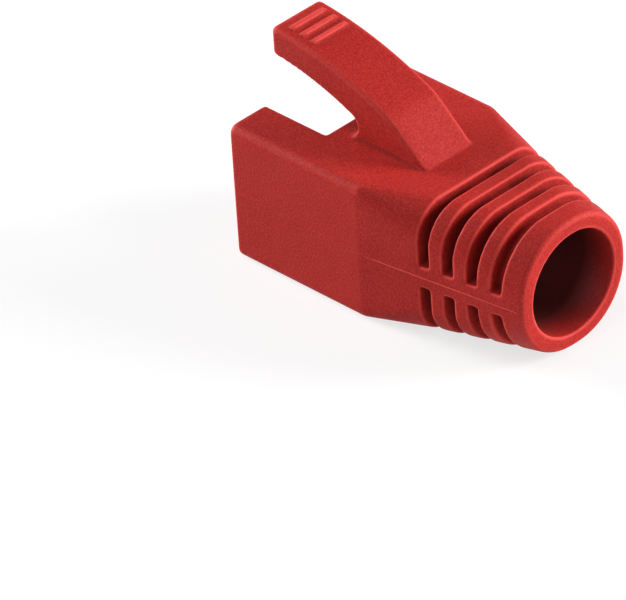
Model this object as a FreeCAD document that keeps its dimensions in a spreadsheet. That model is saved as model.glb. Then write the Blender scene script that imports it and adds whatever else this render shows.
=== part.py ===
import FreeCAD, Part
import Sketcher
import enum
import math
import os
from itertools import pairwise

# Snagless strain relief boot for a modular plug: one soft moulding.
# X runs across the plug opening, Y from the plug opening to the cable tail,
# Z up. The flat underside rests on Z = 0.

os.makedirs("parts", exist_ok=True)
doc = FreeCAD.newDocument("strain_relief_boot")
sizes = doc.addObject("Spreadsheet::Sheet", "Sizes")

DRIVING_SIZES = (
    # The modular plug, and the opening that closes round it
    ("plug_width", "11.7"),
    ("plug_clearance", "0.2"),
    ("cavity_height", "8.45"),
    ("cavity_depth", "8.8"),
    ("funnel_length", "3.2"),
    # The plug housing, a rectangular tube with softened long edges
    ("side_wall", "1.25"),
    ("floor_wall", "1.4"),
    ("roof_wall", "1.45"),
    ("box_length", "12.7"),
    ("box_corner", "0.7"),
    ("mouth_round", "0.25"),
    # The retaining sill across the floor of the opening
    ("sill_gap", "0.55"),
    ("sill_rise", "1.15"),
    ("sill_depth", "1.1"),
    # The latch slot cut in the top wall
    ("slot_width", "7.2"),
    ("slot_length", "6.3"),
    ("cut_overrun", "3.0"),
    # The shoulder and the round cable tail
    ("shoulder_length", "5.3"),
    ("shoulder_width", "13.0"),
    ("shoulder_height", "11.0"),
    ("shoulder_corner", "2.8"),
    ("tail_length", "9.1"),
    ("tail_size", "10.6"),
    ("tail_flat", "0.3"),
    ("tail_round", "0.4"),
    ("cable_diameter", "8.0"),
    ("cable_clearance", "0.15"),
    # The flex grooves of the tail
    ("groove_width", "0.92"),
    ("groove_pitch", "2.08"),
    ("groove_count", "4"),
    ("core_wall", "0.6"),
    ("side_rib", "1.75"),
        # The latch guard lever; its rise is measured from the housing's deck
    ("lever_width", "5.0"),
    ("lever_skirt", "0.95"),
    ("lever_plate", "0.95"),
    ("lever_setback", "0.1"),
    ("lever_rise", "6.2"),
    ("lever_tip_depth", "2.25"),
    ("lever_crown_radius", "31.0"),
    ("lever_crown_lead", "2.1"),
    ("lever_crown_reach", "11.3"),
    ("lever_bend_radius", "4.0"),
    ("lever_back_angle", "41.5"),
    ("lever_under_radius", "24.0"),
    ("lever_under_lead", "2.0"),
    ("window_radius", "1.0"),
    ("lever_bury", "0.6"),
    ("lever_edge", "0.35"),
    ("channel_setback", "1.5"),
    # The finger grips across the lever
    ("grip_first", "1.4"),
    ("grip_pitch", "1.05"),
    ("grip_count", "3"),
    ("grip_radius", "0.3"),
    ("grip_sink", "0.08"),
    ("grip_length", "3.5"),
    # The witness line left by the two mould halves
    ("witness_height", "0.12"),
    ("witness_proud", "0.05"),
    ("witness_root", "0.3"),
    ("witness_start", "0.6"),
)

for row, (alias, number) in enumerate(DRIVING_SIZES, start=1):
    sizes.set("A%d" % row, alias.replace("_", " "))
    sizes.set("B%d" % row, number)
    sizes.setAlias("B%d" % row, alias)
doc.recompute()


class Amount:
    """A length worked out from the size sheet: its expression and its present value."""

    def __init__(self, text, value):
        """Keep the expression and the value together."""
        self.text = text
        self.value = value

    def __add__(self, other):
        """Add another length."""
        return Amount("(%s + %s)" % (self.text, other.text), self.value + other.value)

    def __sub__(self, other):
        """Take another length away."""
        return Amount("(%s - %s)" % (self.text, other.text), self.value - other.value)

    def __mul__(self, factor):
        """Multiply by a plain number."""
        return Amount("(%s * %s)" % (self.text, factor), self.value * factor)


def size(alias):
    """Read one driving dimension."""
    return Amount("Sizes." + alias, float(sizes.get(alias)))


def half(amount):
    """Halve a length."""
    return Amount("(%s / 2)" % amount.text, amount.value / 2)


def upright_of(slant, across):
    """The upright side of a right triangle, from its slant side and its level side."""
    text = "sqrt(%s ^ 2 - %s ^ 2)" % (slant.text, across.text)
    return Amount(text, math.sqrt(slant.value ** 2 - across.value ** 2))


# Lengths that follow from the driving sizes
cavity_width = size("plug_width") + size("plug_clearance")
cavity_top = size("floor_wall") + size("cavity_height")
box_width = cavity_width + size("side_wall") * 2
deck = cavity_top + size("roof_wall")
axis_height = half(deck)
shoulder_end = size("box_length") + size("shoulder_length")
tail_end = shoulder_end + size("tail_length")
bore_diameter = size("cable_diameter") + size("cable_clearance") * 2
funnel_end = size("cavity_depth") + size("funnel_length")
lever_top = deck + size("lever_rise")
lever_tip_under = lever_top - size("lever_tip_depth")

body = doc.addObject("PartDesign::Body", "Boot")
body.Label = "strain_relief_boot"


class Mark(enum.IntEnum):
    """The sketcher's own numbers for the points of an edge and for the sketch's axes."""

    START = 1
    END = 2
    CENTRE = 3
    ORIGIN = -1
    V_AXIS = -2


START, END, CENTRE = Mark.START, Mark.END, Mark.CENTRE
ORIGIN, V_AXIS = Mark.ORIGIN, Mark.V_AXIS
Z_NORMAL = FreeCAD.Vector(0, 0, 1)
NEAR = 1e-4


def plane(role):
    """Find one of the body's own origin planes."""
    for feature in body.Origin.OriginFeatures:
        if feature.Role == role:
            return feature
    raise RuntimeError("no plane " + role)


def new_sketch(name, role, offset=None):
    """Open a sketch on an origin plane, moved along the plane normal."""
    sketch = body.newObject("Sketcher::SketchObject", name)
    sketch.AttachmentSupport = [(plane(role), "")]
    sketch.MapMode = "FlatFace"
    if offset is not None:
        sketch.setExpression("AttachmentOffset.Base.z", offset.text)
    return sketch


def section_sketch(name, ahead=None):
    """Open a sketch across the boot, a length ahead of the plug opening."""
    return new_sketch(name, "XZ_Plane", None if ahead is None else ahead * -1)


def point(across, up):
    """A point in sketch coordinates."""
    return FreeCAD.Vector(across, up, 0)


def line(sketch, first, second):
    """Add a straight edge."""
    return sketch.addGeometry(Part.LineSegment(point(*first), point(*second)), False)


def arc(sketch, centre, radius, first, second, construction=False):
    """Add an arc that runs anticlockwise from the direction of one point to that of another."""
    circle = Part.Circle(point(*centre), Z_NORMAL, radius)
    start = math.atan2(first[1] - centre[1], first[0] - centre[0])
    finish = math.atan2(second[1] - centre[1], second[0] - centre[0])
    if finish <= start:
        finish += math.tau
    return sketch.addGeometry(Part.ArcOfCircle(circle, start, finish), construction)


def constrain(sketch, kind, *where):
    """Add a geometric constraint."""
    sketch.addConstraint(Sketcher.Constraint(kind, *where))


def drive(sketch, name, amount, kind, *where):
    """Add a named dimension bound to the size sheet."""
    number = sketch.addConstraint(Sketcher.Constraint(kind, *where, amount.value))
    sketch.renameConstraint(number, name)
    sketch.setExpression("Constraints." + name, amount.text)


def chain(sketch, links):
    """Join edge ends in order: (first, its end, second, its end)."""
    for link in links:
        constrain(sketch, "Coincident", *link)


def rounded_section(name, ahead, width, height, top, corner):
    """Draw a rounded rectangle across the boot."""
    sketch = section_sketch(name, ahead)
    side = width.value / 2
    high = top.value
    low = high - height.value
    turn = corner.value
    inner = side - turn
    lower = low + turn
    upper = high - turn
    bottom = line(sketch, (-inner, low), (inner, low))
    low_right = arc(sketch, (inner, lower), turn, (inner, low), (side, lower))
    right = line(sketch, (side, lower), (side, upper))
    high_right = arc(sketch, (inner, upper), turn, (side, upper), (inner, high))
    crest = line(sketch, (inner, high), (-inner, high))
    high_left = arc(sketch, (-inner, upper), turn, (-inner, high), (-side, upper))
    left = line(sketch, (-side, upper), (-side, lower))
    low_left = arc(sketch, (-inner, lower), turn, (-side, lower), (-inner, low))
    loop = (bottom, low_right, right, high_right, crest, high_left, left, low_left)
    for edge, follower in pairwise((*loop, bottom)):
        constrain(sketch, "Tangent", edge, END, follower, START)
    for flat in (bottom, crest):
        constrain(sketch, "Horizontal", flat)
    for upright in (right, left):
        constrain(sketch, "Vertical", upright)
    for turn_edge in (high_right, low_left):
        constrain(sketch, "Equal", low_right, turn_edge)
    constrain(sketch, "Symmetric", left, START, right, END, V_AXIS)
    drive(sketch, "width", width, "DistanceX", left, START, right, END)
    drive(sketch, "height", height, "DistanceY", bottom, START, crest, END)
    drive(sketch, "top", top, "DistanceY", ORIGIN, START, crest, START)
    drive(sketch, "corner", corner, "Radius", low_right)
    return sketch


def block_section(name, ahead, width, low, high):
    """Draw a plain rectangle across the boot, centred on its middle plane."""
    sketch = section_sketch(name, ahead)
    side = width.value / 2
    bottom = line(sketch, (-side, low.value), (side, low.value))
    right = line(sketch, (side, low.value), (side, high.value))
    upper = line(sketch, (side, high.value), (-side, high.value))
    left = line(sketch, (-side, high.value), (-side, low.value))
    chain(sketch, ((bottom, END, right, START), (right, END, upper, START)))
    chain(sketch, ((upper, END, left, START), (left, END, bottom, START)))
    constrain(sketch, "Horizontal", upper)
    constrain(sketch, "Vertical", right)
    constrain(sketch, "Vertical", left)
    constrain(sketch, "Symmetric", bottom, START, bottom, END, V_AXIS)
    drive(sketch, "width", width, "DistanceX", bottom, START, bottom, END)
    drive(sketch, "low", low, "DistanceY", ORIGIN, START, bottom, START)
    drive(sketch, "high", high, "DistanceY", ORIGIN, START, upper, START)
    return sketch


def feature(kind, name, profile, length=None, reverse=False, both_ways=False):
    """Add a pad or a pocket on a sketch."""
    made = body.newObject("PartDesign::" + kind, name)
    made.Profile = profile
    made.Reversed = reverse
    made.Midplane = both_ways
    made.setExpression("Length", length.text)
    return made


def round_edges(name, base, names, radius):
    """Round some edges of a feature."""
    made = body.newObject("PartDesign::Fillet", name)
    made.Base = (base, names)
    made.setExpression("Radius", radius.text)
    return made


def edges_where(shape, test):
    """Name the edges whose sampled points all pass a test."""
    names = []
    for number, edge in enumerate(shape.Edges, start=1):
        if all(test(place) for place in edge.discretize(5)):
            names.append("Edge%d" % number)
    return names


def must_change(before, feature_made, sign):
    """Check that a feature really added or removed material."""
    doc.recompute()
    after = feature_made.Shape.Volume
    if (after - before) * sign <= 0:
        raise RuntimeError(feature_made.Name + " changed nothing")
    return after


# ---- Tail and shoulder: one skin from the round tail to the housing ----
tail_section = rounded_section(
    "TailSection", tail_end, size("tail_size"), size("tail_size"),
    axis_height + half(size("tail_size")), half(size("tail_size") - size("tail_flat")),
)
shoulder_section = rounded_section(
    "ShoulderSection", shoulder_end, size("shoulder_width"), size("shoulder_height"),
    axis_height + half(size("shoulder_height")), size("shoulder_corner"),
)
break_section = rounded_section(
    "BreakSection", size("box_length"), box_width, deck, deck, size("box_corner")
)
skin = body.newObject("PartDesign::AdditiveLoft", "TailSkin")
skin.Profile = tail_section
skin.Sections = [shoulder_section, break_section]
skin.Ruled = True
skin.Closed = False
volume = must_change(0, skin, 1)

# ---- Housing: the rectangular tube round the plug, still solid here ----
mouth_section = rounded_section("MouthSection", None, box_width, deck, deck, size("box_corner"))
housing = feature("Pad", "Housing", mouth_section, size("box_length"), reverse=True)
volume = must_change(volume, housing, 1)

mouth_edges = edges_where(housing.Shape, lambda place: abs(place.y) < NEAR)
mouth_soft = round_edges("MouthSoftEdge", housing, mouth_edges, size("mouth_round"))
volume = must_change(volume, mouth_soft, -1)

tail_edges = edges_where(mouth_soft.Shape, lambda place: abs(place.y - tail_end.value) < NEAR)
tail_soft = round_edges("TailSoftEdge", mouth_soft, tail_edges, size("tail_round"))
volume = must_change(volume, tail_soft, -1)

# ---- Latch guard lever: a wedge back running into a long crown ----
setback = size("lever_setback")
crown_radius = size("lever_crown_radius")
crown_lead = size("lever_crown_lead")
crown_reach = size("lever_crown_reach")
crown_height = upright_of(crown_radius, setback + crown_lead)
crown_drop = crown_height - lever_top
under_radius = size("lever_under_radius")
under_lead = size("lever_under_lead")
under_drop = upright_of(under_radius, setback + under_lead) - lever_tip_under
window_radius = size("window_radius")
bend_radius = size("lever_bend_radius")
lean = math.radians(size("lever_back_angle").value)

crown_centre = (-crown_lead.value, -crown_drop.value)
under_centre = (-under_lead.value, -under_drop.value)
tip_low = (setback.value, lever_tip_under.value)
tip_high = (setback.value, lever_top.value)
crown_rise = upright_of(crown_radius, crown_reach + crown_lead)
crown_end = (crown_reach.value, crown_centre[1] + crown_rise.value)
inward = 1 - bend_radius.value / crown_radius.value
bend_centre = (
    crown_centre[0] + inward * (crown_end[0] - crown_centre[0]),
    crown_centre[1] + inward * (crown_end[1] - crown_centre[1]),
)
back_top = (
    bend_centre[0] + bend_radius.value * math.sin(lean),
    bend_centre[1] + bend_radius.value * math.cos(lean),
)
root = (back_top[0] + (back_top[1] - deck.value) / math.tan(lean), deck.value)
window_reach = under_radius.value - window_radius.value
window_rise = deck.value + window_radius.value - under_centre[1]
window_y = under_centre[0] + math.sqrt(window_reach ** 2 - window_rise ** 2)
window_centre = (window_y, deck.value + window_radius.value)
touch = under_radius.value / window_reach
window_top = (
    under_centre[0] + touch * (window_centre[0] - under_centre[0]),
    under_centre[1] + touch * (window_centre[1] - under_centre[1]),
)
buried = deck.value - size("lever_bury").value

lever_side = new_sketch("LeverSide", "YZ_Plane")
tip = line(lever_side, tip_low, tip_high)
crown = arc(lever_side, crown_centre, crown_radius.value, crown_end, tip_high)
bend = arc(lever_side, bend_centre, bend_radius.value, back_top, crown_end)
back = line(lever_side, back_top, root)
heel = line(lever_side, root, (root[0], buried))
sole = line(lever_side, (root[0], buried), (window_y, buried))
toe = line(lever_side, (window_y, buried), (window_y, deck.value))
window = arc(lever_side, window_centre, window_radius.value, (window_y, deck.value), window_top)
under = arc(lever_side, under_centre, under_radius.value, window_top, tip_low)
chain(lever_side, ((tip, START, under, END), (tip, END, crown, END)))
constrain(lever_side, "Tangent", crown, START, bend, END)
constrain(lever_side, "Tangent", bend, START, back, START)
chain(lever_side, ((back, END, heel, START), (heel, END, sole, START)))
chain(lever_side, ((sole, END, toe, START), (toe, END, window, START)))
constrain(lever_side, "Tangent", window, END, under, START)
for upright in (tip, heel, toe):
    constrain(lever_side, "Vertical", upright)
constrain(lever_side, "Horizontal", sole)
constrain(lever_side, "Vertical", window, CENTRE, window, START)
drive(lever_side, "setback", setback, "DistanceX", ORIGIN, START, tip, START)
drive(lever_side, "tip_top", lever_top, "DistanceY", ORIGIN, START, tip, END)
drive(lever_side, "tip_depth", size("lever_tip_depth"), "DistanceY", tip, START, tip, END)
drive(lever_side, "crown", crown_radius, "Radius", crown)
drive(lever_side, "crown_lead", crown_lead, "DistanceX", crown, CENTRE, ORIGIN, START)
drive(lever_side, "crown_reach", crown_reach, "DistanceX", ORIGIN, START, crown, START)
drive(lever_side, "bend", bend_radius, "Radius", bend)
drive(lever_side, "back_end", deck, "DistanceY", ORIGIN, START, back, END)
drive(lever_side, "bury", size("lever_bury"), "DistanceY", heel, END, heel, START)
drive(lever_side, "toe_end", deck, "DistanceY", ORIGIN, START, toe, END)
drive(lever_side, "window", window_radius, "Radius", window)
drive(lever_side, "under", under_radius, "Radius", under)
drive(lever_side, "under_lead", under_lead, "DistanceX", under, CENTRE, ORIGIN, START)
back_slope = Amount("Sizes.lever_back_angle * -1 deg", -lean)
drive(lever_side, "back_angle", back_slope, "Angle", back)
lever = feature("Pad", "Lever", lever_side, size("lever_width"), both_ways=True)
volume = must_change(volume, lever, 1)

half_lever = half(size("lever_width")).value


def distance(place, centre):
    """How far a point is from an axis across the boot."""
    return math.hypot(place.y - centre[0], place.z - centre[1])


def on_lever_rim(place):
    """Tell whether a point is on the lever's upper side rim."""
    on_crown = abs(distance(place, crown_centre) - crown_radius.value) < NEAR
    on_bend = abs(distance(place, bend_centre) - bend_radius.value) < NEAR and place.y > bend_centre[0]
    fall = (place.y - root[0]) * math.sin(lean) + (place.z - root[1]) * math.cos(lean)
    on_side = abs(abs(place.x) - half_lever) < NEAR
    return on_side and place.z > deck.value - NEAR and (on_crown or on_bend or abs(fall) < NEAR)


def on_lever_tip(place):
    """Tell whether a point is on the lever's free end, above its lower rim."""
    at_end = abs(place.y - setback.value) < NEAR
    at_rim = abs(abs(place.x) - half_lever) < NEAR or place.z > lever_top.value - NEAR
    return at_end and at_rim and place.z > lever_tip_under.value - NEAR


rim_edges = edges_where(lever.Shape, on_lever_rim) + edges_where(lever.Shape, on_lever_tip)
lever_soft = round_edges("LeverSoftEdge", lever, rim_edges, size("lever_edge"))
volume = must_change(volume, lever_soft, -1)

# ---- Plug opening, tapered throat and cable bore ----
opening = block_section("OpeningSection", None, cavity_width, size("floor_wall"), cavity_top)
cavity = feature("Pocket", "PlugCavity", opening, size("cavity_depth"))
volume = must_change(volume, cavity, -1)

funnel_mouth = block_section(
    "FunnelMouth", size("cavity_depth"), cavity_width, size("floor_wall"), cavity_top
)
half_bore = half(bore_diameter)
funnel_throat = block_section(
    "FunnelThroat", funnel_end, bore_diameter, axis_height - half_bore, axis_height + half_bore
)
funnel = body.newObject("PartDesign::SubtractiveLoft", "Funnel")
funnel.Profile = funnel_throat
funnel.Sections = [funnel_mouth]
funnel.Ruled = True
volume = must_change(volume, funnel, -1)

bore_circle = section_sketch("BoreCircle", tail_end)
ring = bore_circle.addGeometry(
    Part.Circle(point(0, axis_height.value), Z_NORMAL, half_bore.value), False
)
constrain(bore_circle, "PointOnObject", ring, CENTRE, V_AXIS)
drive(bore_circle, "height", axis_height, "DistanceY", ORIGIN, START, ring, CENTRE)
drive(bore_circle, "bore", bore_diameter, "Diameter", ring)
bore_run = tail_end - size("cavity_depth") - half(size("funnel_length"))
bore = feature("Pocket", "CableBore", bore_circle, bore_run, reverse=True)
volume = must_change(volume, bore, -1)

# ---- Retaining sill across the floor, with a slit at each end ----
sill_block = block_section(
    "SillSection", None, cavity_width - size("sill_gap") * 2,
    half(size("floor_wall")), size("floor_wall") + size("sill_rise"),
)
sill = feature("Pad", "Sill", sill_block, size("sill_depth"), reverse=True)
volume = must_change(volume, sill, 1)

# ---- Latch slot through the top wall ----
slot_sketch = new_sketch("SlotOutline", "XY_Plane", deck)
slot_half = half(size("slot_width")).value
slot_end = size("slot_length").value
slot_open = -size("cut_overrun").value
near_side = line(slot_sketch, (-slot_half, slot_open), (slot_half, slot_open))
slot_right = line(slot_sketch, (slot_half, slot_open), (slot_half, slot_end))
slot_back = line(slot_sketch, (slot_half, slot_end), (-slot_half, slot_end))
slot_left = line(slot_sketch, (-slot_half, slot_end), (-slot_half, slot_open))
chain(slot_sketch, ((near_side, END, slot_right, START), (slot_right, END, slot_back, START)))
chain(slot_sketch, ((slot_back, END, slot_left, START), (slot_left, END, near_side, START)))
constrain(slot_sketch, "Horizontal", near_side)
constrain(slot_sketch, "Vertical", slot_right)
constrain(slot_sketch, "Vertical", slot_left)
constrain(slot_sketch, "Symmetric", slot_back, START, slot_back, END, V_AXIS)
drive(slot_sketch, "width", size("slot_width"), "DistanceX", slot_back, END, slot_back, START)
drive(slot_sketch, "length", size("slot_length"), "DistanceY", ORIGIN, START, slot_back, START)
drive(slot_sketch, "overrun", size("cut_overrun"), "DistanceY", near_side, START, ORIGIN, START)
slot = feature("Pocket", "LatchSlot", slot_sketch, size("roof_wall") + half(size("cavity_height")))
volume = must_change(volume, slot, -1)

# ---- Channel under the lever, open at the tip ----
ceiling_radius = crown_radius - size("lever_plate")
channel_front = size("lever_plate")
channel_reach = crown_reach - size("channel_setback")
front_rise = upright_of(ceiling_radius, crown_lead - channel_front)
ceiling_rise = upright_of(ceiling_radius, channel_reach + crown_lead)
front_high = (-channel_front.value, crown_centre[1] + front_rise.value)
channel_back = (channel_reach.value, crown_centre[1] + ceiling_rise.value)
fall = (channel_back[1] - deck.value) / math.tan(lean)
floor_back = (channel_back[0] + fall, deck.value)
floor_front = (-channel_front.value, deck.value)
channel_side = new_sketch("ChannelSide", "YZ_Plane")
front = line(channel_side, floor_front, front_high)
ceiling = arc(channel_side, crown_centre, ceiling_radius.value, channel_back, front_high)
slope = line(channel_side, channel_back, floor_back)
floor = line(channel_side, floor_back, floor_front)
chain(channel_side, ((front, END, ceiling, END), (ceiling, START, slope, START)))
chain(channel_side, ((slope, END, floor, START), (floor, END, front, START)))
constrain(channel_side, "Vertical", front)
constrain(channel_side, "Horizontal", floor)
drive(channel_side, "ceiling", ceiling_radius, "Radius", ceiling)
drive(channel_side, "crown_lead", crown_lead, "DistanceX", ceiling, CENTRE, ORIGIN, START)
drive(channel_side, "crown_drop", crown_drop, "DistanceY", ceiling, CENTRE, ORIGIN, START)
drive(channel_side, "front", channel_front, "DistanceX", front, START, ORIGIN, START)
drive(channel_side, "floor", deck, "DistanceY", ORIGIN, START, front, START)
drive(channel_side, "reach", channel_reach, "DistanceX", ORIGIN, START, ceiling, START)
drive(channel_side, "back_angle", back_slope, "Angle", slope)
channel_width = size("lever_width") - size("lever_skirt") * 2
channel = feature("Pocket", "LeverChannel", channel_side, channel_width, both_ways=True)
volume = must_change(volume, channel, -1)

# ---- Finger grips across the lever crown ----
track_radius = crown_radius - size("grip_sink")
track_rise = upright_of(track_radius, crown_reach + crown_lead)
track_end = (crown_reach.value, crown_centre[1] + track_rise.value)
grip_side = new_sketch("GripSide", "YZ_Plane")
track = arc(grip_side, crown_centre, track_radius.value, track_end, tip_high, True)
drive(grip_side, "track", track_radius, "Radius", track)
drive(grip_side, "crown_lead", crown_lead, "DistanceX", track, CENTRE, ORIGIN, START)
drive(grip_side, "crown_drop", crown_drop, "DistanceY", track, CENTRE, ORIGIN, START)
drive(grip_side, "track_reach", crown_reach, "DistanceX", ORIGIN, START, track, START)
drive(grip_side, "track_setback", setback, "DistanceX", ORIGIN, START, track, END)
for place in range(int(size("grip_count").value)):
    grip_y = size("grip_first") + size("grip_pitch") * place
    grip_rise = upright_of(track_radius, grip_y + crown_lead)
    middle = point(grip_y.value, crown_centre[1] + grip_rise.value)
    bar = grip_side.addGeometry(Part.Circle(middle, Z_NORMAL, size("grip_radius").value), False)
    constrain(grip_side, "PointOnObject", bar, CENTRE, track)
    drive(grip_side, "bar%d" % place, size("grip_radius"), "Radius", bar)
    drive(grip_side, "place%d" % place, grip_y, "DistanceX", ORIGIN, START, bar, CENTRE)
grips = feature("Pad", "FingerGrips", grip_side, size("grip_length"), both_ways=True)
volume = must_change(volume, grips, 1)

# ---- Flex grooves, left as blind slots over and under the cable core ----
core_radius = half_bore + size("core_wall")
rib_half = half(size("side_rib"))
reach = half(size("shoulder_width")) + size("cut_overrun")
wide = reach.value
foot = upright_of(core_radius, rib_half).value
groove_sketch = section_sketch("GrooveSection", shoulder_end)
for name, turn in (("over", 1), ("under", -1)):
    outer_z = axis_height.value + turn * wide
    rib_z = axis_height.value + turn * rib_half.value
    first_x = turn * foot
    core_centre = (0, axis_height.value)
    core = arc(groove_sketch, core_centre, core_radius.value, (first_x, rib_z), (-first_x, rib_z))
    ledge_a = line(groove_sketch, (first_x, rib_z), (turn * wide, rib_z))
    rise_a = line(groove_sketch, (turn * wide, rib_z), (turn * wide, outer_z))
    crest = line(groove_sketch, (turn * wide, outer_z), (-turn * wide, outer_z))
    rise_b = line(groove_sketch, (-turn * wide, outer_z), (-turn * wide, rib_z))
    ledge_b = line(groove_sketch, (-turn * wide, rib_z), (-first_x, rib_z))
    chain(groove_sketch, ((core, START, ledge_a, START), (ledge_a, END, rise_a, START)))
    chain(groove_sketch, ((rise_a, END, crest, START), (crest, END, rise_b, START)))
    chain(groove_sketch, ((rise_b, END, ledge_b, START), (ledge_b, END, core, END)))
    for flat in (ledge_a, ledge_b):
        constrain(groove_sketch, "Horizontal", flat)
    constrain(groove_sketch, "Horizontal", ledge_a, END, ledge_b, START)
    for upright in (rise_a, rise_b):
        constrain(groove_sketch, "Vertical", upright)
    constrain(groove_sketch, "PointOnObject", core, CENTRE, V_AXIS)
    constrain(groove_sketch, "Symmetric", crest, START, crest, END, V_AXIS)
    low_first = (core, CENTRE, ledge_a, START) if turn > 0 else (ledge_a, START, core, CENTRE)
    low_last = (ledge_a, END, rise_a, END) if turn > 0 else (rise_a, END, ledge_a, END)
    side = (crest, END, crest, START) if turn > 0 else (crest, START, crest, END)
    drive(groove_sketch, name + "_axis", axis_height, "DistanceY", ORIGIN, START, core, CENTRE)
    drive(groove_sketch, name + "_core", core_radius, "Radius", core)
    drive(groove_sketch, name + "_rib", rib_half, "DistanceY", *low_first)
    drive(groove_sketch, name + "_rise", reach - rib_half, "DistanceY", *low_last)
    drive(groove_sketch, name + "_wide", reach * 2, "DistanceX", *side)
groove = feature("Pocket", "FlexGroove", groove_sketch, size("groove_width"))
must_change(volume, groove, -1)
grooves = body.newObject("PartDesign::LinearPattern", "FlexGrooves")
grooves.Originals = [groove]
grooves.Direction = (groove_sketch, ["N_Axis"])
grooves.Reversed = True
grooves.Mode = "Spacing"
grooves.setExpression("Offset", "Sizes.groove_pitch")
grooves.setExpression("Occurrences", "Sizes.groove_count")
body.Tip = grooves
volume = must_change(groove.Shape.Volume, grooves, -1)

# ---- Witness line of the mould halves, along the middle of both sides ----
witness_start = size("witness_start")
stations = (
    (witness_start, half(box_width)),
    (size("box_length"), half(box_width)),
    (shoulder_end, half(size("shoulder_width"))),
    (tail_end - witness_start, half(size("tail_size"))),
)
outer = [(ahead, across + size("witness_proud")) for ahead, across in stations]
inner = [(ahead, across - size("witness_root")) for ahead, across in reversed(stations)]
corners = outer + inner
witness_sketch = new_sketch("WitnessOutline", "XY_Plane", axis_height)
strip = []
for (ahead, across), (next_ahead, next_across) in pairwise((*corners, corners[0])):
    first = (across.value, ahead.value)
    strip.append(line(witness_sketch, first, (next_across.value, next_ahead.value)))
for edge, follower in pairwise((*strip, strip[0])):
    constrain(witness_sketch, "Coincident", edge, END, follower, START)
for place, (edge, (ahead, across)) in enumerate(zip(strip, corners)):
    drive(witness_sketch, "across%d" % place, across, "DistanceX", ORIGIN, START, edge, START)
    drive(witness_sketch, "ahead%d" % place, ahead, "DistanceY", ORIGIN, START, edge, START)
witness = feature("Pad", "WitnessLine", witness_sketch, size("witness_height"), both_ways=True)
must_change(volume, witness, 1)
witness_pair = body.newObject("PartDesign::Mirrored", "WitnessLines")
witness_pair.Originals = [witness]
witness_pair.MirrorPlane = (plane("YZ_Plane"), [""])
body.Tip = witness_pair
volume = must_change(witness.Shape.Volume, witness_pair, 1)

# ---- Frame: the origin sits under the middle of the boot's length ----
body.setExpression("Placement.Base.y", (half(tail_end) * -1).text)
doc.recompute()

for thing in doc.Objects:
    if "Invalid" in thing.State or "Error" in thing.State:
        raise RuntimeError(thing.Name + " failed: " + thing.getStatusString())
    if thing.TypeId == "Sketcher::SketchObject" and not thing.FullyConstrained:
        raise RuntimeError(thing.Name + " is not fully constrained")

if body.Shape.isNull() or not body.Shape.isValid() or len(body.Shape.Solids) != 1:
    raise RuntimeError("the boot is not one valid solid")
body.Shape.exportStep("parts/%s.step" % body.Label)
print(body.Label, "volume mm3", round(body.Shape.Volume, 1))
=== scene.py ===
import logging
import math
from dataclasses import dataclass
from enum import Enum

import bmesh
import bpy
from mathutils import Euler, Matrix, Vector


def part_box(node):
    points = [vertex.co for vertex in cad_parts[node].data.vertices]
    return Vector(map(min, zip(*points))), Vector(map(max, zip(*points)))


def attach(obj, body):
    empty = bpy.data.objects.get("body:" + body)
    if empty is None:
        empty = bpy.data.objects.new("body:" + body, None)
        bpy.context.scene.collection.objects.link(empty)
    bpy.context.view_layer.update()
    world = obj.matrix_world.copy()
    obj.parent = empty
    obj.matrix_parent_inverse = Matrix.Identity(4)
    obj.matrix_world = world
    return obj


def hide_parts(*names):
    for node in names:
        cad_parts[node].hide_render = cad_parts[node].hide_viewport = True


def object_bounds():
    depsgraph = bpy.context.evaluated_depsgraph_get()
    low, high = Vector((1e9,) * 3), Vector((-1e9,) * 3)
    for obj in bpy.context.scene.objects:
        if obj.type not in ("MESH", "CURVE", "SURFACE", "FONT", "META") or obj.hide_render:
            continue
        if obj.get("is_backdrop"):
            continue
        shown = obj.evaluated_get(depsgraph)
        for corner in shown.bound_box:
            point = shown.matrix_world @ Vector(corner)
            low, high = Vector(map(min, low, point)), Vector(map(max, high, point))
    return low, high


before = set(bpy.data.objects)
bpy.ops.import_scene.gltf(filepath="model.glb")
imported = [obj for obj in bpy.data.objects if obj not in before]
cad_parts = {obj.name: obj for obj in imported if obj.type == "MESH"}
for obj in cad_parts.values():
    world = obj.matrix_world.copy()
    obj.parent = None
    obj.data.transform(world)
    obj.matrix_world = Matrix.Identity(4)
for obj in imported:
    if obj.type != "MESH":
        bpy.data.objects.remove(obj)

log = logging.getLogger("boot")

Colour = tuple[float, float, float]
Feeds = dict[str | int, object]

BODY = "root"
NODE = "strain_relief_boot"
EDGE = "edge"
MM = 0.001


class Side(Enum):
    """The two flanks of the boot, named by their sign along X."""

    LEFT = -1
    RIGHT = 1


class Light(Enum):
    """The jobs that a studio lamp can have."""

    TAIL_KEY = "tail_key"
    SIDE_KEY = "side_key"
    OVERHEAD = "overhead"
    FILL = "fill"


class Socket(Enum):
    """The kinds of input that a geometry node tree can take."""

    GEOMETRY = "NodeSocketGeometry"
    AMOUNT = "NodeSocketFloat"
    COUNT = "NodeSocketInt"
    MATERIAL = "NodeSocketMaterial"


@dataclass(frozen=True)
class Pattern:
    """A noise pattern: the size of its features in metres, its layers of detail, their weight."""

    size: float
    detail: float
    weight: float


@dataclass(frozen=True)
class Relief:
    """How a pattern stands out of the surface: its height in metres and how strongly it shows."""

    height: float
    strength: float


@dataclass(frozen=True)
class Span:
    """How one number becomes another: from start to stop, the answer runs from first to last."""

    start: float
    stop: float
    first: float = 0.0
    last: float = 1.0


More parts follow.
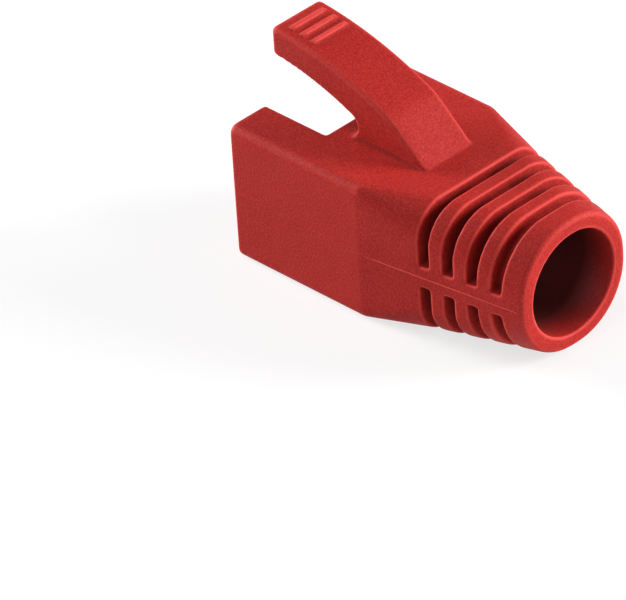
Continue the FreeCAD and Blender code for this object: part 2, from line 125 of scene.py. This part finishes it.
class Tree:
    """A node tree that is put together in code."""

    def __init__(self, tree: bpy.types.NodeTree) -> None:
        """Take on a tree.

        Args:
            tree: the tree to fill, which loses the nodes that it came with.
        """
        self.tree = tree
        tree.nodes.clear()

    def add(self, kind: str, feeds: Feeds | None = None, **settings: object) -> bpy.types.Node:
        """Add a node, set it and feed it.

        Args:
            kind: the node's type.
            feeds: what goes into each input, a socket to link or a plain value.
            settings: properties of the node.

        Returns:
            The new node.
        """
        node = self.tree.nodes.new(kind)
        for key, value in settings.items():
            setattr(node, key, value)
        for key, value in (feeds or {}).items():
            if isinstance(value, bpy.types.NodeSocket):
                self.tree.links.new(value, node.inputs[key])
            else:
                node.inputs[key].default_value = value
        return node

    def math(self, operation: str, *terms: object) -> bpy.types.NodeSocket:
        """Work out one number from up to three.

        Args:
            operation: the sum to do.
            terms: the numbers or sockets, in order.

        Returns:
            The socket with the answer.
        """
        return self.add("ShaderNodeMath", dict(enumerate(terms)), operation=operation).outputs[0]

    def vector_math(self, operation: str, *terms: object) -> bpy.types.Node:
        """Work out a vector or a number from one or two vectors.

        Args:
            operation: the sum to do.
            terms: the vectors or sockets, in order.

        Returns:
            The node, whose first output is a vector and whose output Value is a number.
        """
        return self.add("ShaderNodeVectorMath", dict(enumerate(terms)), operation=operation)


class GeometryTree(Tree):
    """A geometry node tree with named inputs."""

    def __init__(self, name: str) -> None:
        """Start an empty tree with one geometry output.

        Args:
            name: what the tree is called.
        """
        super().__init__(bpy.data.node_groups.new(name, "GeometryNodeTree"))
        self.tree.interface.new_socket(
            "Geometry", in_out="OUTPUT", socket_type=Socket.GEOMETRY.value
        )
        self.entry = self.add("NodeGroupInput")
        self.identifiers: dict[str, str] = {}

    def input(self, name: str, kind: Socket) -> bpy.types.NodeSocket:
        """Add a named input.

        Args:
            name: what the input is called.
            kind: what it carries.

        Returns:
            The socket inside the tree that gives the input's value.
        """
        made = self.tree.interface.new_socket(name, in_out="INPUT", socket_type=kind.value)
        self.identifiers[name] = made.identifier
        return self.entry.outputs[name]

    def mark(self, geometry: bpy.types.NodeSocket, amount: object) -> bpy.types.NodeSocket:
        """Store how much of an edge each point is, for the finish to read.

        Args:
            geometry: what the tree has made.
            amount: above zero on an edge, below zero in a crease.

        Returns:
            The marked geometry.
        """
        feeds = {"Geometry": geometry, "Name": EDGE, "Value": amount}
        kind = "GeometryNodeStoreNamedAttribute"
        return self.add(kind, feeds, data_type="FLOAT", domain="POINT").outputs[0]

    def finish(self, geometry: bpy.types.NodeSocket, material: bpy.types.NodeSocket) -> None:
        """Make the instances real, give them their material and close the tree.

        Args:
            geometry: what the tree has made.
            material: the input that holds the material.
        """
        real = self.add("GeometryNodeRealizeInstances", {"Geometry": geometry})
        smooth = self.add("GeometryNodeSetShadeSmooth", {"Geometry": real.outputs[0]})
        feeds = {"Geometry": smooth.outputs[0], "Material": material}
        dressed = self.add("GeometryNodeSetMaterial", feeds)
        self.add("NodeGroupOutput", {0: dressed.outputs[0]})

    def run(
        self, base: bpy.types.Object, values: dict[str, object], name: str
    ) -> bpy.types.Object:
        """Run the tree on an object and keep the result as a plain mesh.

        Args:
            base: the object that the tree starts from.
            values: each named input and its value.
            name: what the finished object is called.

        Returns:
            The finished object, with no modifiers.
        """
        modifier = base.modifiers.new(self.tree.name, "NODES")
        modifier.node_group = self.tree
        for key, value in values.items():
            modifier[self.identifiers[key]] = value
        return baked(base, name)


class ShaderTree(Tree):
    """A shader node tree, with the few steps that the finishes are made of."""

    def noise(self, place: bpy.types.NodeSocket, pattern: Pattern) -> bpy.types.NodeSocket:
        """Add a noise pattern.

        Args:
            place: the point's own place on the piece.
            pattern: the pattern's size and detail.

        Returns:
            The pattern's value, from 0 to 1.
        """
        feeds = {
            "Vector": place,
            "Scale": 1 / pattern.size,
            "Detail": pattern.detail,
            "Roughness": pattern.weight,
        }
        return self.add("ShaderNodeTexNoise", feeds).outputs["Fac"]

    def spread(
        self, source: bpy.types.NodeSocket, span: Span, last: bpy.types.NodeSocket | None = None
    ) -> bpy.types.NodeSocket:
        """Map one range of a number on another.

        Args:
            source: the number.
            span: the two ranges.
            last: where the answer ends, in place of the span's own last value.

        Returns:
            The socket with the answer.
        """
        feeds = {
            "Value": source,
            "From Min": span.start,
            "From Max": span.stop,
            "To Min": span.first,
            "To Max": span.last if last is None else last,
        }
        return self.add("ShaderNodeMapRange", feeds).outputs[0]

    def blend(
        self, under: bpy.types.NodeSocket | Colour, over: Colour, amount: bpy.types.NodeSocket
    ) -> bpy.types.NodeSocket:
        """Lay a colour over what is under it.

        Args:
            under: the layers so far, or the plain colour of the material.
            over: the colour to lay over them.
            amount: how much of it shows, from 0 to 1.

        Returns:
            The colour of all the layers.
        """
        base = under if isinstance(under, bpy.types.NodeSocket) else (*under, 1)
        # The colours are inputs 6 and 7 and output 2: a Mix node has a pair for each kind of value.
        feeds = {0: amount, 6: base, 7: (*over, 1)}
        return self.add("ShaderNodeMix", feeds, data_type="RGBA").outputs[2]

    def bump(
        self,
        height: bpy.types.NodeSocket,
        relief: Relief,
        under: bpy.types.NodeSocket | None = None,
    ) -> bpy.types.NodeSocket:
        """Raise the surface by a pattern.

        Args:
            height: the pattern.
            relief: how high and how strong it is.
            under: the relief that it lies on, if there is one.

        Returns:
            The direction that the raised surface faces.
        """
        feeds = {"Height": height, "Distance": relief.height, "Strength": relief.strength}
        if under is not None:
            feeds["Normal"] = under
        return self.add("ShaderNodeBump", feeds).outputs[0]

    def sight(self) -> bpy.types.NodeSocket:
        """Tell the rays that see the room, straight or in a surface, from those that light it.

        Returns:
            The socket that is 1 for a ray that sees and 0 for a ray that lights.
        """
        path = self.add("ShaderNodeLightPath").outputs
        through = self.math("MAXIMUM", path["Is Glossy Ray"], path["Is Transmission Ray"])
        return self.math("MAXIMUM", path["Is Camera Ray"], through)


def plain_object(name: str, mesh: bpy.types.Mesh) -> bpy.types.Object:
    """Put a mesh into the scene, with its place in its points.

    Args:
        name: what the object is called.
        mesh: the mesh it shows.

    Returns:
        The new object, at the origin.
    """
    made = bpy.data.objects.new(name, mesh)
    bpy.context.scene.collection.objects.link(made)
    return made


def baked(source: bpy.types.Object, name: str) -> bpy.types.Object:
    """Turn an object with modifiers into a plain mesh and drop the source.

    Args:
        source: the object whose modifiers are worked out.
        name: what the plain object is called.

    Returns:
        The plain object, with no modifiers.
    """
    graph = bpy.context.evaluated_depsgraph_get()
    mesh = bpy.data.meshes.new_from_object(source.evaluated_get(graph))
    mesh.name = name
    bpy.data.objects.remove(source, do_unlink=True)
    return plain_object(name, mesh)


@dataclass(frozen=True)
class BoreShade:
    """Where shade is painted inside the cable bore: round its axis, and from its lip to its root.

    Lengths are in metres. The lip, the dark and the root are places along Y, and the outer and
    the inner edge of the darkening are shares of the bore's radius.
    """

    axis: float = 5.65 * MM
    radius: float = 4.15 * MM
    outer: float = 1.04
    inner: float = 1.01
    root: float = -1.5 * MM
    fade: float = 0.4 * MM
    lip: float = 13.5 * MM
    dark: float = 10.5 * MM

    def amount(self, tree: ShaderTree, place: bpy.types.NodeSocket) -> bpy.types.NodeSocket:
        """Measure how deep a point is in the bore.

        Args:
            tree: the material's tree.
            place: the point's own place on the piece.

        Returns:
            The socket that runs from 0 outside the bore to 1 deep inside.
        """
        feeds = {"Vector": place, "Location": (0, 0, -self.axis), "Scale": (1, 0, 1)}
        across = tree.add("ShaderNodeMapping", feeds).outputs[0]
        reach = tree.vector_math("LENGTH", across).outputs["Value"]
        along = tree.add("ShaderNodeSeparateXYZ", {"Vector": place}).outputs["Y"]
        near_axis = Span(self.radius * self.outer, self.radius * self.inner)
        past_root = Span(self.root - self.fade, self.root)
        past_lip = Span(self.lip, self.dark)
        shade = tree.spread(reach, near_axis)
        shade = tree.spread(along, past_root, last=shade)
        return tree.spread(along, past_lip, last=shade)


@dataclass(frozen=True)
class SoftCompound:
    """The finish of the soft moulding: a matt, even, rubbery plastic with a fine moulded grain.

    Colours are linear, lengths are in metres. A span says how much of a layer shows: the mottle
    over the clouds, flecks and pits over the grains, a painted highlight on the marked edges and
    painted shade in their creases, painted shade in hollows by how closed in a point lies, and
    painted shade deep in the bore. The sheen and the crease's dulling set the roughness.
    """

    body: Colour = (0.425, 0.0170, 0.0130)
    # dark colour: random mottle and pits in the compound, and also the painted shade in creases and
    # hollows
    deep: Colour = (0.125, 0.012, 0.0105)
    # pale colour: random flecks in the grain, and also the painted highlight on edges, bars and
    # ridge
    fleck_and_highlight: Colour = (0.880, 0.092, 0.076)
    # painted shade colour for the inside of the cable bore
    painted_bore_shade: Colour = (0.060, 0.003, 0.0025)
    clouds: Pattern = Pattern(size=3.2 * MM, detail=3.0, weight=0.55)
    grains: Pattern = Pattern(size=0.15 * MM, detail=2.0, weight=0.65)
    ripples: Pattern = Pattern(size=1.1 * MM, detail=1.0, weight=0.5)
    grain_relief: Relief = Relief(height=0.026 * MM, strength=0.8)
    ripple_relief: Relief = Relief(height=0.010 * MM, strength=0.5)
    mottle: Span = Span(0.30, 0.75, first=0.12, last=0.0)
    flecks: Span = Span(0.42, 0.70, last=0.22)
    pits: Span = Span(0.52, 0.30, last=0.24)
    rub: Span = Span(0.10, 0.38, last=0.52)
    crease: Span = Span(-0.05, -0.45, last=0.60)
    painted_hollow_shade: Span = Span(0.48, 0.10, last=0.80)
    hollow_reach: float = 14.0 * MM
    hollow_rays: int = 8
    bore: BoreShade = BoreShade()
    sheen: Span = Span(0.3, 0.7, first=0.66, last=0.52)
    crease_dulling: Span = Span(-0.05, -0.30)
    gloss: float = 1.22
    glow: float = 0.06
    glow_reach: Colour = (0.8 * MM, 0.2 * MM, 0.2 * MM)

    def colour(
        self,
        tree: ShaderTree,
        clouds: bpy.types.NodeSocket,
        grains: bpy.types.NodeSocket,
        edges: bpy.types.NodeSocket,
        inside: bpy.types.NodeSocket,
    ) -> bpy.types.NodeSocket:
        """Lay the colours over each other, painted highlight and painted shade among them.

        Args:
            tree: the material's tree.
            clouds: the wide pattern.
            grains: the fine pattern.
            edges: how much of an edge a point is, below zero in a crease.
            inside: how deep a point is in the bore.

        Returns:
            The colour of the surface.
        """
        open_air = tree.add(
            "ShaderNodeAmbientOcclusion",
            {"Distance": self.hollow_reach},
            samples=self.hollow_rays,
            only_local=True,
        )
        layers = (
            (self.deep, tree.spread(clouds, self.mottle)),
            (self.fleck_and_highlight, tree.spread(grains, self.flecks)),
            (self.deep, tree.spread(grains, self.pits)),
            # painted highlight: the marked edges are lightened as if they caught the light
            (self.fleck_and_highlight, tree.spread(edges, self.rub)),
            # painted shade: creases are darkened where shade falls
            (self.deep, tree.spread(edges, self.crease)),
            # painted shade: ambient occlusion darkens hollows, grooves and the deck under the lever
            (self.deep, tree.spread(open_air.outputs["AO"], self.painted_hollow_shade)),
            # painted shade: the cable bore is darkened deeper from its lip towards its root
            (self.painted_bore_shade, inside),
        )
        shown = self.body
        for layer, amount in layers:
            shown = tree.blend(shown, layer, amount)
        return shown

    def material(self) -> bpy.types.Material:
        """Build the node material.

        Returns:
            The material, which reads the piece's object coordinates and its edge attribute.
        """
        made = bpy.data.materials.new("soft_compound")
        made.use_nodes = True
        tree = ShaderTree(made.node_tree)
        place = tree.add("ShaderNodeTexCoord").outputs["Object"]
        clouds = tree.noise(place, self.clouds)
        grains = tree.noise(place, self.grains)
        edges = tree.add("ShaderNodeAttribute", attribute_name=EDGE).outputs["Fac"]
        inside = self.bore.amount(tree, place)
        waves = tree.bump(tree.noise(place, self.ripples), self.ripple_relief)
        polish = tree.spread(clouds, self.sheen)
        dulled = tree.math("MAXIMUM", polish, tree.spread(edges, self.crease_dulling))
        feeds = {
            "Base Color": self.colour(tree, clouds, grains, edges, inside),
            "Roughness": tree.math("MAXIMUM", dulled, inside),
            "Normal": tree.bump(grains, self.grain_relief, under=waves),
            "IOR": self.gloss,
            "Subsurface Weight": self.glow,
            "Subsurface Radius": self.glow_reach,
            "Subsurface Scale": 1.0,
        }
        skin = tree.add("ShaderNodeBsdfPrincipled", feeds)
        tree.add("ShaderNodeOutputMaterial", {"Surface": skin.outputs[0]})
        return made


@dataclass
class Moulding:
    """The whole soft body, with the sharp edges of its solid rounded as a mould rounds them.

    The blank is a fine grid. A few steps of blur round it, and how far each point lies from a
    wider blur marks it as an edge or a crease. Then the flat parts lose the points that they can
    spare. Lengths are in metres.
    """

    finish: bpy.types.Material
    cell: float = 0.10 * MM
    weld: float = 0.001 * MM
    rounding: int = 3
    reach: int = 7
    kept: float = 0.30

    @staticmethod
    def evened(
        nodes: GeometryTree, place: bpy.types.NodeSocket, steps: bpy.types.NodeSocket
    ) -> bpy.types.NodeSocket:
        """Even out the points' places over their neighbours.

        Args:
            nodes: the tree.
            place: the points' places.
            steps: how many times they are evened out.

        Returns:
            The evened places.
        """
        feeds = {"Value": place, "Iterations": steps}
        return nodes.add("GeometryNodeBlurAttribute", feeds, data_type="FLOAT_VECTOR").outputs[0]

    def tree(self) -> GeometryTree:
        """Build the tree that rounds the edges and marks them for the finish.

        Returns:
            The tree, with the steps of both blurs, the grid's cell and the material as inputs.
        """
        nodes = GeometryTree("soften_edges")
        body = nodes.input("Body", Socket.GEOMETRY)
        steps = nodes.input("Rounding", Socket.COUNT)
        reach = nodes.input("Reach", Socket.COUNT)
        scale = nodes.input("Scale", Socket.AMOUNT)
        material = nodes.input("Material", Socket.MATERIAL)
        here = nodes.add("GeometryNodeInputPosition").outputs[0]
        facing = nodes.add("GeometryNodeInputNormal").outputs[0]
        feeds = {"Geometry": body, "Position": self.evened(nodes, here, steps)}
        rounded = nodes.add("GeometryNodeSetPosition", feeds).outputs[0]
        lean = nodes.vector_math("SUBTRACT", here, self.evened(nodes, here, reach)).outputs[0]
        height = nodes.vector_math("DOT_PRODUCT", lean, facing).outputs["Value"]
        nodes.finish(nodes.mark(rounded, nodes.math("DIVIDE", height, scale)), material)
        return nodes

    def blank(self) -> bpy.types.Object:
        """Make a fine grid in the shape of the solid.

        Returns:
            The object, with its grid still a modifier.
        """
        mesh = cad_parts[NODE].data.copy()
        shell = bmesh.new()
        shell.from_mesh(mesh)
        bmesh.ops.remove_doubles(shell, verts=shell.verts, dist=self.weld)
        shell.to_mesh(mesh)
        shell.free()
        mesh.materials.clear()
        made = plain_object("moulding_blank", mesh)
        grid = made.modifiers.new("grid", "REMESH")
        grid.mode = "VOXEL"
        grid.voxel_size = self.cell
        grid.adaptivity = 0.0
        return made

    def build(self) -> bpy.types.Object:
        """Build and dress the moulding.

        Returns:
            The finished piece, riding on the body and standing for the solid.
        """
        values = {
            "Rounding": self.rounding,
            "Reach": self.reach,
            "Scale": self.cell,
            "Material": self.finish,
        }
        softened = self.tree().run(self.blank(), values, "moulding_fine")
        thinned = softened.modifiers.new("thin", "DECIMATE")
        thinned.ratio = self.kept
        piece = baked(softened, "boot_moulding")
        box = tuple(zip(*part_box(NODE)))
        for point in piece.data.vertices:
            point.co = [min(max(at, low), high) for at, (low, high) in zip(point.co, box)]
        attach(piece, BODY)
        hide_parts(NODE)
        return piece


@dataclass
class GripBars:
    """The raised finger grips across the tip of the latch lever, laid along its curved back.

    Lengths are in metres. The mouth is the plug opening's place along Y, and the crown's y and
    the first bar are counted from it. The squareness says how late a bar's ends round off.
    """

    finish: bpy.types.Material
    mouth: float
    crown_y: float = -2.1 * MM
    crown_z: float = -13.422 * MM
    crown_radius: float = 31.0 * MM
    first: float = 1.4 * MM
    pitch: float = 1.05 * MM
    count: int = 3
    length: float = 3.5 * MM
    radius: float = 0.3 * MM
    sink: float = 0.08 * MM
    stations: int = 33
    sides: int = 20
    squareness: float = 14.0
    # painted highlight: a fixed edge mark that makes the finish lighten the bars
    rub: float = 0.62

    def spots(self, nodes: GeometryTree) -> bpy.types.NodeSocket:
        """Lay one point for each bar along the crown's arc.

        Args:
            nodes: the tree.

        Returns:
            The points.
        """
        count = nodes.input("Count", Socket.COUNT)
        first = nodes.input("First", Socket.AMOUNT)
        pitch = nodes.input("Pitch", Socket.AMOUNT)
        centre_y = nodes.input("Centre Y", Socket.AMOUNT)
        centre_z = nodes.input("Centre Z", Socket.AMOUNT)
        track = nodes.input("Track", Socket.AMOUNT)
        turn = nodes.add("GeometryNodeInputIndex").outputs[0]
        along = nodes.math("MULTIPLY_ADD", turn, pitch, first)
        reach = nodes.math("SUBTRACT", along, centre_y)
        squares = nodes.math("MULTIPLY", track, track), nodes.math("MULTIPLY", reach, reach)
        rise = nodes.math("SQRT", nodes.math("SUBTRACT", *squares))
        height = nodes.math("ADD", rise, centre_z)
        spot = nodes.add("ShaderNodeCombineXYZ", {"Y": along, "Z": height}).outputs[0]
        points = nodes.add("GeometryNodePoints", {"Count": count}).outputs[0]
        feeds = {"Geometry": points, "Position": spot}
        return nodes.add("GeometryNodeSetPosition", feeds).outputs[0]

    def bar(self, nodes: GeometryTree) -> bpy.types.NodeSocket:
        """Shape one round bar with soft ends.

        Args:
            nodes: the tree.

        Returns:
            The bar, lying across the lever.
        """
        half = nodes.input("Half Length", Socket.AMOUNT)
        radius = nodes.input("Radius", Socket.AMOUNT)
        low = nodes.add("ShaderNodeCombineXYZ", {"X": nodes.math("MULTIPLY", half, -1.0)})
        high = nodes.add("ShaderNodeCombineXYZ", {"X": half})
        ends = {"Start": low.outputs[0], "End": high.outputs[0]}
        spine = nodes.add("GeometryNodeCurvePrimitiveLine", ends).outputs[0]
        feeds = {"Curve": spine, "Count": self.stations}
        fine = nodes.add("GeometryNodeResampleCurve", feeds).outputs[0]
        part = nodes.add("GeometryNodeSplineParameter").outputs["Factor"]
        swing = nodes.math("ABSOLUTE", nodes.math("MULTIPLY_ADD", part, 2.0, -1.0))
        fall = nodes.math("POWER", swing, self.squareness)
        taper = nodes.math("SQRT", nodes.math("SUBTRACT", 1.0, fall))
        feeds = {"Resolution": self.sides, "Radius": radius}
        ring = nodes.add("GeometryNodeCurvePrimitiveCircle", feeds).outputs[0]
        feeds = {"Curve": fine, "Profile Curve": ring, "Scale": taper, "Fill Caps": True}
        return nodes.add("GeometryNodeCurveToMesh", feeds).outputs[0]

    def tree(self) -> GeometryTree:
        """Build the tree that lays soft bars along an arc.

        Returns:
            The tree, with the arc's and the bars' sizes as inputs.
        """
        nodes = GeometryTree("grip_bars")
        rub = nodes.input("Rub", Socket.AMOUNT)
        material = nodes.input("Material", Socket.MATERIAL)
        feeds = {"Points": self.spots(nodes), "Instance": self.bar(nodes)}
        bars = nodes.add("GeometryNodeInstanceOnPoints", feeds).outputs[0]
        nodes.finish(nodes.mark(bars, rub), material)
        return nodes

    def build(self) -> bpy.types.Object:
        """Build and dress the bars.

        Returns:
            The finished piece, riding on the body.
        """
        base = plain_object("grip_blank", bpy.data.meshes.new("grip_blank"))
        values = {
            "Count": self.count,
            "First": self.mouth + self.first,
            "Pitch": self.pitch,
            "Centre Y": self.mouth + self.crown_y,
            "Centre Z": self.crown_z,
            "Track": self.crown_radius - self.sink,
            "Half Length": self.length / 2,
            "Radius": self.radius,
            "Rub": self.rub,
            "Material": self.finish,
        }
        piece = self.tree().run(base, values, "grip_bars")
        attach(piece, BODY)
        return piece


@dataclass
class WitnessLine:
    """The fine ridge that the two halves of the mould leave along one flank of the boot.

    Lengths are in metres. Each station is a place along Y, counted from the plug opening at the
    mouth, and the boot's half width there.
    """

    finish: bpy.types.Material
    side: Side
    mouth: float
    height: float = 5.65 * MM
    stations: tuple[tuple[float, float], ...] = (
        (0.6 * MM, 7.15 * MM),
        (12.7 * MM, 7.178 * MM),
        (18.0 * MM, 6.54 * MM),
        (26.5 * MM, 5.34 * MM),
    )
    half_width: float = 0.055 * MM
    proud: float = 0.050 * MM
    step: float = 0.4 * MM
    sides: int = 8
    # painted highlight: a fixed edge mark that makes the finish lighten the ridge
    rub: float = 0.9

    def tree(self) -> GeometryTree:
        """Build the tree that draws a fine ridge along a path.

        Returns:
            The tree, with the path and the ridge's sizes as inputs.
        """
        nodes = GeometryTree("witness_line")
        path = nodes.input("Path", Socket.GEOMETRY)
        width = nodes.input("Half Width", Socket.AMOUNT)
        proud = nodes.input("Proud", Socket.AMOUNT)
        step = nodes.input("Step", Socket.AMOUNT)
        rub = nodes.input("Rub", Socket.AMOUNT)
        material = nodes.input("Material", Socket.MATERIAL)
        line = nodes.add("GeometryNodeMeshToCurve", {"Mesh": path}).outputs[0]
        feeds = {"Curve": line, "Length": step}
        fine = nodes.add("GeometryNodeResampleCurve", feeds, mode="LENGTH").outputs[0]
        upright = nodes.add("GeometryNodeSetCurveNormal", {"Curve": fine}, mode="Z_UP").outputs[0]
        feeds = {"Resolution": self.sides, "Radius": 1.0}
        ring = nodes.add("GeometryNodeCurvePrimitiveCircle", feeds).outputs[0]
        size = nodes.add("ShaderNodeCombineXYZ", {"X": proud, "Y": width, "Z": 1.0}).outputs[0]
        profile = nodes.add("GeometryNodeTransform", {"Geometry": ring, "Scale": size}).outputs[0]
        feeds = {"Curve": upright, "Profile Curve": profile, "Fill Caps": True}
        ridge = nodes.add("GeometryNodeCurveToMesh", feeds).outputs[0]
        nodes.finish(nodes.mark(ridge, rub), material)
        return nodes

    def build(self) -> bpy.types.Object:
        """Build and dress the ridge.

        Returns:
            The finished piece, riding on the body.
        """
        name = f"witness_line_{self.side.name.lower()}"
        mesh = bpy.data.meshes.new(name)
        points = [(self.side.value * x, self.mouth + y, self.height) for y, x in self.stations]
        mesh.from_pydata(points, [(at, at + 1) for at in range(len(points) - 1)], [])
        base = plain_object(f"{name}_path", mesh)
        values = {
            "Half Width": self.half_width,
            "Proud": self.proud,
            "Step": self.step,
            "Rub": self.rub,
            "Material": self.finish,
        }
        piece = self.tree().run(base, values, name)
        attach(piece, BODY)
        return piece


@dataclass(frozen=True)
class Lamp:
    """One soft box: its job, its direction in degrees, its watts, and its sizes in metres."""

    job: Light
    azimuth: float
    elevation: float
    power: float
    width: float = 0.42
    distance: float = 0.80

    def place(self) -> Vector:
        """Work out where the lamp stands.

        Returns:
            Its place, with the azimuth counted from the plug opening's side towards +X.
        """
        turn, lift = math.radians(self.azimuth), math.radians(self.elevation)
        level = self.distance * math.cos(lift)
        height = self.distance * math.sin(lift)
        return Vector((level * math.sin(turn), -level * math.cos(turn), height))


@dataclass
class Studio:
    """The pale floor, the soft lamps and the camera.

    Lengths are in metres and turns in degrees, but the lens and the sensor are in millimetres.
    The floor and the room have one level for the rays that light the boot and another where
    they are seen.
    """

    floor_size: float = 6.0
    floor_gap: float = 0.02 * MM
    floor_white: float = 0.80
    floor_seen: float = 0.30
    floor_glow: float = 0.725
    room_level: float = 0.05
    room_seen: float = 1.0
    lamps: tuple[Lamp, ...] = (
        Lamp(Light.TAIL_KEY, azimuth=226, elevation=19, power=9.8),
        Lamp(Light.SIDE_KEY, azimuth=16, elevation=17, power=9.0),
        Lamp(Light.OVERHEAD, azimuth=80, elevation=74, power=1.2),
        Lamp(Light.FILL, azimuth=120, elevation=42, power=0.6),
    )
    camera_place: tuple[float, float, float] = (0.360692, 0.371337, 0.347974)
    camera_turn: tuple[float, float, float] = (55.9553, 3.2218, 134.6867)
    lens: float = 496.962
    sensor: float = 36.0
    nearest: float = 0.01
    farthest: float = 20.0

    def floor_material(self) -> bpy.types.Material:
        """Build the floor's material, which is seen as white paper with the boot's shadow on it.

        Returns:
            The material.
        """
        made = bpy.data.materials.new("pale_floor")
        made.use_nodes = True
        tree = ShaderTree(made.node_tree)
        sight = tree.sight()
        white = tree.spread(sight, Span(0.0, 1.0, self.floor_white, self.floor_seen))
        light = tree.spread(sight, Span(0.0, 1.0, 0.0, self.floor_glow))
        paper = tree.add("ShaderNodeBsdfDiffuse", {"Color": white})
        glow = tree.add("ShaderNodeEmission", {"Strength": light})
        both = tree.add("ShaderNodeAddShader", {0: paper.outputs[0], 1: glow.outputs[0]})
        tree.add("ShaderNodeOutputMaterial", {"Surface": both.outputs[0]})
        return made

    def build_floor(self, underside: float) -> None:
        """Lay the floor a hair under the boot.

        Args:
            underside: the height of the boot's underside.
        """
        half = self.floor_size / 2
        level = underside - self.floor_gap
        mesh = bpy.data.meshes.new("floor")
        corners = [(-half, -half), (half, -half), (half, half), (-half, half)]
        mesh.from_pydata([(*corner, level) for corner in corners], [], [(0, 1, 2, 3)])
        mesh.materials.append(self.floor_material())
        plain_object("floor", mesh)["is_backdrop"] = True

    def build_room(self) -> None:
        """Light the room evenly, and let plain white be seen behind the floor."""
        world = bpy.data.worlds.new("room")
        world.use_nodes = True
        bpy.context.scene.world = world
        tree = ShaderTree(world.node_tree)
        level = tree.spread(tree.sight(), Span(0.0, 1.0, self.room_level, self.room_seen))
        sky = tree.add("ShaderNodeBackground", {"Color": (1, 1, 1, 1), "Strength": level})
        tree.add("ShaderNodeOutputWorld", {"Surface": sky.outputs[0]})

    def build_lamps(self) -> None:
        """Set up the soft boxes, all turned to the boot."""
        for lamp in self.lamps:
            data = bpy.data.lights.new(lamp.job.value, "AREA")
            data.shape = "DISK"
            data.size = lamp.width
            data.energy = lamp.power
            made = bpy.data.objects.new(lamp.job.value, data)
            made.location = lamp.place()
            made.rotation_euler = lamp.place().to_track_quat("Z", "Y").to_euler()
            bpy.context.scene.collection.objects.link(made)

    def build_camera(self) -> None:
        """Set up the camera."""
        data = bpy.data.cameras.new("camera")
        data.lens = self.lens
        data.sensor_width = self.sensor
        data.clip_start = self.nearest
        data.clip_end = self.farthest
        made = bpy.data.objects.new("camera", data)
        made.location = self.camera_place
        made.rotation_euler = Euler([math.radians(turn) for turn in self.camera_turn], "XYZ")
        bpy.context.scene.collection.objects.link(made)
        bpy.context.scene.camera = made


def main() -> None:
    """Build the boot and its studio, and log each piece's face count."""
    logging.basicConfig(level=logging.INFO, format="%(name)s: %(message)s")
    cad_low, cad_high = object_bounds()
    bpy.context.scene.view_settings.view_transform = "Standard"
    studio = Studio()
    studio.build_camera()
    studio.build_floor(cad_low.z)
    studio.build_room()
    studio.build_lamps()
    compound = SoftCompound().material()
    sections = [
        Moulding(compound),
        GripBars(compound, mouth=cad_low.y),
        WitnessLine(compound, Side.LEFT, mouth=cad_low.y),
        WitnessLine(compound, Side.RIGHT, mouth=cad_low.y),
    ]
    for section in sections:
        piece = section.build()
        log.info("%s: %d faces", piece.name, len(piece.data.polygons))


if __name__ == "__main__":
    main()
